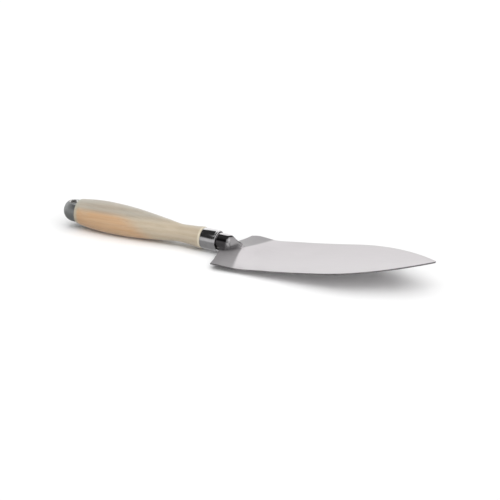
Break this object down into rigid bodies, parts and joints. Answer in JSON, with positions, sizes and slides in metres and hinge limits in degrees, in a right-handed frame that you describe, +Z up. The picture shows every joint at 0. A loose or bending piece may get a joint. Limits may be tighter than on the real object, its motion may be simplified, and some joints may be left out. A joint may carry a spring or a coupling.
{
  "type": "hand trowel",
  "caption": "Hand trowel with a pointed, shallow-dished steel blade, ferrule, turned wooden handle and steel butt cap with an eyelet hole, for digging and planting.",
  "frame": {"origin": "on the floor, under the middle of the trowel's bounding box, with the trowel lying on the belly of its blade and the swell of its handle", "axes": "+X from the butt of the handle to the tip of the blade, +Y across the blade, +Z up out of the dish"},
  "size_m": [0.3403, 0.0754, 0.0272],
  "materials": {
    "satin_steel": "satin stainless sheet",
    "dark_steel": "forged, rough",
    "weld_metal": "brushed weld bead",
    "polished_steel": "polished",
    "ash_wood": "turned, oiled",
    "cap_steel": "satin grey",
    "eyelet_steel": "satin"
  },
  "bodies": {
    "root": {"blade": "satin_steel", "tang": "dark_steel", "tang_weld": "weld_metal", "ferrule": "polished_steel", "handle": "ash_wood", "end_cap": "cap_steel", "hang_eyelet": "eyelet_steel"}
  },
  "joints": []
}
